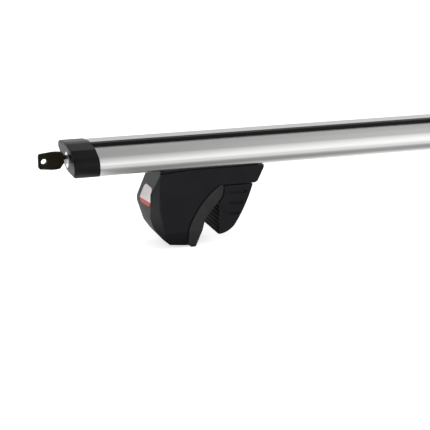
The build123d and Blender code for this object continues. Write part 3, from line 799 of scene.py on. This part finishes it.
def lock_chrome():
    """Mirror-bright chrome plate with a few hairlines."""
    material, shader = principled("lock_chrome", (0.78, 0.78, 0.8), roughness=0.06, metallic=1.0)
    hairlines = object_noise(material, scale=700, stretch=(1, 0.2, 1))
    tone = tinted(material, hairlines, dark=(0.74, 0.74, 0.76), light=(0.82, 0.82, 0.83))
    wire(material, tone, shader, "Base Color")
    wire(material, ranged(material, hairlines, low=0.04, high=0.08), shader, "Roughness")
    return material


chrome = lock_chrome()
for side in ("left", "right"):
    barrel, plug = at_end(lock_barrel(), side), at_end(lock_plug(), side)
    finished(f"{side}_barrel", barrel, f"{side}_cap", [f"{side}_lock_barrel"], chrome)
    finished(f"{side}_plug", plug, f"{side}_lock", [f"{side}_lock_plug"], chrome)
    for node in ("lock_nut", "lock_cam", "cam_screw"):
        dressed(f"{side}_{node}", zinc)


# Key
# A flat nickel-plated blade in a moulded bow of brownish black plastic. The bow has a short neck towards
# the lock, a hole for a ring and a shallow bare panel on each side.

key_shoulder, bow_end = -30.4, -57.4
bow_half_thickness, bow_edge = 2.75, 0.9
# Corners of the bow in its side view: inset from the bar's end, height over the lock's axis, radius
bow_side = [(key_shoulder, 4.6, 0.8), (key_shoulder - 1.4, 8.7, 2.4), (key_shoulder - 11, 9.6, 30),
            (bow_end, 7.7, 2.4), (bow_end, -7.7, 2.4), (key_shoulder - 11, -9.6, 30),
            (key_shoulder - 4.3, -8.7, 2.4), (key_shoulder, -2.4, 0.8)]
neck_start, neck_end = key_shoulder - 1.5, -27.7
neck_half_thickness, neck_low, neck_high = 2.2, 0.9, 4.8
ring_hole, ring_hole_inset = 6.2, -51.8
panel_side = [(-33.6, 6.4, 1), (-41.4, 7.4, 0), (-46.6, 7, 1.5), (-46.6, -7, 1.5), (-41.4, -7.4, 0),
              (-36.2, -6.9, 1)]
panel_depth = 0.5
blade_root, blade_tip, blade_point = -39.4, -8, 2.67
blade_half_height, blade_half_thickness = 4, 1.1
# Middle and depth of each cut of the blade
bitting = ((-26, 1.2), (-22.6, 2), (-19.2, 0.9), (-15.8, 1.7), (-12.4, 1.1))
bitting_flat, bitting_slope = 0.7, 1
fuller_start, fuller_half_height, fuller_depth = key_shoulder + 0.6, 0.7, 0.45


def key_prism(corners, front, back):
    """Solid of a side view about the left lock's axis between two Y in millimetres from it."""
    bm = bmesh.new()
    face = rounded_face(bm, corners, lambda a, b: on_lock(a / mm, front, b / mm))
    pushed(bm, [face], Vector((0, (back - front) * mm, 0)))
    return bm


def key_bow():
    """Softened bow with a short neck, its ring hole, the blade's slot and a sunk panel on both sides."""
    bm = key_prism(bow_side, -bow_half_thickness, bow_half_thickness)
    softened(bm, bow_edge)
    neck = block(on_lock(neck_start, -neck_half_thickness, neck_low),
                 on_lock(neck_end, neck_half_thickness, neck_high))
    outside = bow_half_thickness + short_overrun
    hole = round_bar(on_lock(ring_hole_inset, -outside), on_lock(ring_hole_inset, outside), ring_hole)
    panels = [key_prism(panel_side, -outside, panel_depth - bow_half_thickness),
              key_prism(panel_side, bow_half_thickness - panel_depth, outside)]
    slot = block(on_lock(blade_root, -blade_half_thickness, -blade_half_height),
                 on_lock(neck_end + short_overrun, blade_half_thickness, blade_half_height))
    return carved(carved(bm, [neck], "UNION"), [hole, *panels, slot])


def key_blade():
    """Flat blade with a pointed tip, cuts along its lower edge and a shallow fuller on both sides."""
    top, bottom = blade_half_height, -blade_half_height
    edge = [(blade_root, bottom, 0)]
    for middle, depth in bitting:
        half_width = bitting_flat + depth * bitting_slope
        edge += [(middle - half_width, bottom, 0), (middle - bitting_flat, bottom + depth, 0),
                 (middle + bitting_flat, bottom + depth, 0), (middle + half_width, bottom, 0)]
    edge += [(blade_tip - blade_point / 4, bottom, 0), (blade_tip, bottom + blade_point, 0),
             (blade_tip, top - blade_point, 0), (blade_tip - blade_point, top, 0), (blade_root, top, 0)]
    bm = key_prism(edge, -blade_half_thickness, blade_half_thickness)
    fullers = [block(on_lock(fuller_start, y - fuller_depth, -fuller_half_height),
                     on_lock(blade_tip + short_overrun, y + fuller_depth, fuller_half_height))
               for y in (-blade_half_thickness, blade_half_thickness)]
    return carved(bm, fullers)


def key_plastic():
    """Brownish black plastic with a fine grain."""
    material, shader = principled("key_plastic", (0.006, 0.0045, 0.002), roughness=0.4, specular=0.06)
    grains = object_noise(material, scale=1800, detail=3)
    patches = object_noise(material, scale=120)
    tone = tinted(material, patches, dark=(0.005, 0.004, 0.0018), light=(0.008, 0.0062, 0.003))
    wire(material, tone, shader, "Base Color")
    wire(material, ranged(material, grains, low=0.34, high=0.5), shader, "Roughness")
    bumped(material, shader, grains, distance=0.00003, strength=0.4)
    return material


def key_steel():
    """Nickel-plated steel with milling lines."""
    material, shader = principled("key_steel", (0.54, 0.53, 0.49), roughness=0.34, metallic=1.0)
    milling = object_noise(material, scale=1100, stretch=(1, 1, 0.1))
    tone = tinted(material, milling, dark=(0.51, 0.5, 0.46), light=(0.57, 0.56, 0.52))
    wire(material, tone, shader, "Base Color")
    wire(material, ranged(material, milling, low=0.31, high=0.38), shader, "Roughness")
    return material


finished("key_grip", key_bow(), "key", ["key_bow"], key_plastic())
finished("key_steel_blade", key_blade(), "key", ["key_blade"], key_steel())


# Stage
# A pale floor under the feet, a white surround, soft studio light and the camera of the picture. None of it
# belongs to the object.

camera_place = Vector((-0.87591, -1.32064, 0.30854))
camera_forward = Vector((0.30501, 0.91159, -0.27564))
camera_up = Vector((0.08746, 0.26139, 0.96126))
focal_pixels, picture_width, sensor_width = 1325, 430, 36
camera_data = bpy.data.cameras.new("camera")
camera_data.sensor_width = sensor_width
camera_data.lens = focal_pixels * sensor_width / picture_width
camera = bpy.data.objects.new("camera", camera_data)
camera_right = camera_forward.cross(camera_up)
turn = Matrix((camera_right, camera_up, -camera_forward)).transposed().to_4x4()
camera.matrix_world = Matrix.Translation(camera_place) @ turn
bpy.context.scene.collection.objects.link(camera)
bpy.context.scene.camera = camera

floor_level = cad_box[0][2]
floor_half = 4.0
floor_glow, contact_reach, contact_depth = 0.6, 0.03, 2.5
floor_mesh = bmesh.new()
floor_corners = [(-floor_half, -floor_half), (floor_half, -floor_half), (floor_half, floor_half),
                 (-floor_half, floor_half)]
floor_mesh.faces.new([floor_mesh.verts.new((x, y, floor_level)) for x, y in floor_corners])
floor = as_object("floor", floor_mesh)


def graded(tree, value, stops):
    """Grey level that runs through stops (value, level); returns its socket."""
    low, high = stops[0][0], stops[-1][0]
    share = tree.nodes.new("ShaderNodeMapRange")
    share.inputs["From Min"].default_value = low
    share.inputs["From Max"].default_value = high
    tree.links.new(value, share.inputs["Value"])
    ramp = tree.nodes.new("ShaderNodeValToRGB")
    steps = ramp.color_ramp.elements
    steps.remove(steps[1])
    for number, (place, level) in enumerate(stops):
        step = steps[0] if number == 0 else steps.new((place - low) / (high - low))
        step.position = (place - low) / (high - low)
        step.color = (level, level, level, 1)
    tree.links.new(share.outputs["Result"], ramp.inputs["Fac"])
    return ramp.outputs["Color"]


def combined(tree, operation, first, second):
    """Result of a math node on a socket and a second socket or number."""
    node = tree.nodes.new("ShaderNodeMath")
    node.operation = operation
    tree.links.new(first, node.inputs[0])
    if isinstance(second, bpy.types.NodeSocket):
        tree.links.new(second, node.inputs[1])
    else:
        node.inputs[1].default_value = second
    return node.outputs["Value"]


# The floor is white to the eye but for the object's soft shadow. Gloss sees a painted sheen on it instead,
# dimmer in front of the bar and brighter left of the bar's left end
floor_paint, floor_shader = principled("floor_paint", (0.8, 0.8, 0.8), roughness=0.9)
floor_tree = floor_paint.node_tree
floor_path = floor_tree.nodes.new("ShaderNodeLightPath")
floor_lift = combined(floor_tree, "MULTIPLY", floor_path.outputs["Is Camera Ray"], floor_glow)
floor_tree.links.new(floor_lift, floor_shader.inputs["Emission Strength"])
floor_shader.inputs["Emission Color"].default_value = (1, 1, 1, 1)
floor_place = floor_tree.nodes.new("ShaderNodeTexCoord")
floor_axes = floor_tree.nodes.new("ShaderNodeSeparateXYZ")
floor_tree.links.new(floor_place.outputs["Object"], floor_axes.inputs["Vector"])
floor_contact = floor_tree.nodes.new("ShaderNodeAmbientOcclusion")
floor_contact.inputs["Distance"].default_value = contact_reach
floor_sheen = floor_tree.nodes.new("ShaderNodeEmission")
sheen_depth = graded(floor_tree, floor_axes.outputs["Y"],
                     [(-1.6, 0.5), (-0.9, 0.36), (-0.4, 0.28), (-0.15, 0.22), (-0.09, 0.24), (-0.04, 0.43),
                      (0, 0.62), (0.08, 0.7), (0.2, 0.5), (0.4, 0.4), (1.0, 0.5)])
sheen_right = graded(floor_tree, floor_axes.outputs["X"], [(-0.54, 1.0), (-0.42, 1.4), (-0.2, 1.8)])
glow_across = graded(floor_tree, floor_axes.outputs["X"],
                     [(-1.6, 0.9), (-0.9, 0.6), (-0.72, 0.75), (-0.6, 1.6), (-0.565, 2.4), (-0.548, 0)])
glow_along = graded(floor_tree, floor_axes.outputs["Y"],
                    [(-0.6, 0.6), (-0.3, 1.0), (-0.04, 1.0), (0, 0.3), (0.15, 0.3), (0.35, 0.7)])
# Painted shade in the sheen where the floor lies close to the object
contact_shade = combined(floor_tree, "POWER", floor_contact.outputs["AO"], contact_depth)
sheen = combined(floor_tree, "MULTIPLY", sheen_depth, sheen_right)
glow = combined(floor_tree, "MULTIPLY", glow_across, glow_along)
open_floor = combined(floor_tree, "ADD", sheen, glow)
sheen_level = combined(floor_tree, "MULTIPLY", open_floor, contact_shade)
floor_tree.links.new(sheen_level, floor_sheen.inputs["Strength"])
floor_mix = floor_tree.nodes.new("ShaderNodeMixShader")
floor_tree.links.new(floor_path.outputs["Is Glossy Ray"], floor_mix.inputs[0])
floor_tree.links.new(floor_shader.outputs["BSDF"], floor_mix.inputs[1])
floor_tree.links.new(floor_sheen.outputs["Emission"], floor_mix.inputs[2])
floor_tree.links.new(floor_mix.outputs["Shader"], floor_tree.nodes["Material Output"].inputs["Surface"])
floor.data.materials.append(floor_paint)

# The surround is white to the eye; for all else it is a studio, graded by the angle from the back horizon
# over the top to the front horizon, with its broad light low in front
world = bpy.data.worlds.new("studio")
bpy.context.scene.world = world
world.use_nodes = True
world_tree = world.node_tree
studio = world_tree.nodes["Background"]
direction = world_tree.nodes.new("ShaderNodeTexCoord")
axes = world_tree.nodes.new("ShaderNodeSeparateXYZ")
world_tree.links.new(direction.outputs["Generated"], axes.inputs["Vector"])
angle = combined(world_tree, "ARCTAN2", axes.outputs["Z"], axes.outputs["Y"])
angle_degrees = combined(world_tree, "DIVIDE", angle, math.radians(1))
left_light = graded(world_tree, angle_degrees,
                    [(0, 0.95), (7, 0.84), (14, 0.7), (22, 0.5), (35, 0.42), (58, 0.34), (82, 0.4),
                     (109, 0.52), (136, 0.8), (158, 1.2), (172, 1.22), (180, 0.6)])
right_light = graded(world_tree, angle_degrees,
                     [(0, 1.0), (12, 0.84), (21, 0.6), (32, 0.56), (48, 0.58), (60, 0.8), (77, 1.04),
                      (98, 1.23), (125, 1.48), (152, 1.55), (174, 1.45), (180, 1.1)])
to_the_right = graded(world_tree, axes.outputs["X"], [(0.24, 0), (0.41, 1)])
# The mix node takes its share of the right light at socket 0, and numbers at sockets 2 and 3
studio_light = world_tree.nodes.new("ShaderNodeMix")
for value, socket in ((to_the_right, 0), (left_light, 2), (right_light, 3)):
    world_tree.links.new(value, studio_light.inputs[socket])
world_tree.links.new(studio_light.outputs[0], studio.inputs["Strength"])
studio.inputs["Color"].default_value = (1, 1, 1, 1)
white = world_tree.nodes.new("ShaderNodeBackground")
white.inputs["Color"].default_value = (1, 1, 1, 1)
world_path = world_tree.nodes.new("ShaderNodeLightPath")
world_mix = world_tree.nodes.new("ShaderNodeMixShader")
world_tree.links.new(world_path.outputs["Is Camera Ray"], world_mix.inputs[0])
world_tree.links.new(studio.outputs["Background"], world_mix.inputs[1])
world_tree.links.new(white.outputs["Background"], world_mix.inputs[2])
world_tree.links.new(world_mix.outputs["Shader"], world_tree.nodes["World Output"].inputs["Surface"])
bpy.context.scene.view_settings.view_transform = "Standard"


def softbox(name, place, target, size, power):
    """Rectangular area lamp that faces a point and shows in no reflection."""
    data = bpy.data.lights.new(name, "AREA")
    data.shape = "RECTANGLE"
    data.size, data.size_y = size
    data.energy = power
    lamp = bpy.data.objects.new(name, data)
    aim = Vector(target) - Vector(place)
    lamp.rotation_euler = aim.to_track_quat("-Z", "Y").to_euler()
    lamp.location = place
    lamp.visible_glossy = False
    bpy.context.scene.collection.objects.link(lamp)


softbox("top_light", place=(0.2, -0.6, 2.2), target=(0, 0, 0), size=(2.4, 1.4), power=14)
softbox("side_light", place=(-1.3, -1.7, 0.3), target=(-0.55, 0, -0.05), size=(0.9, 1.2), power=28)
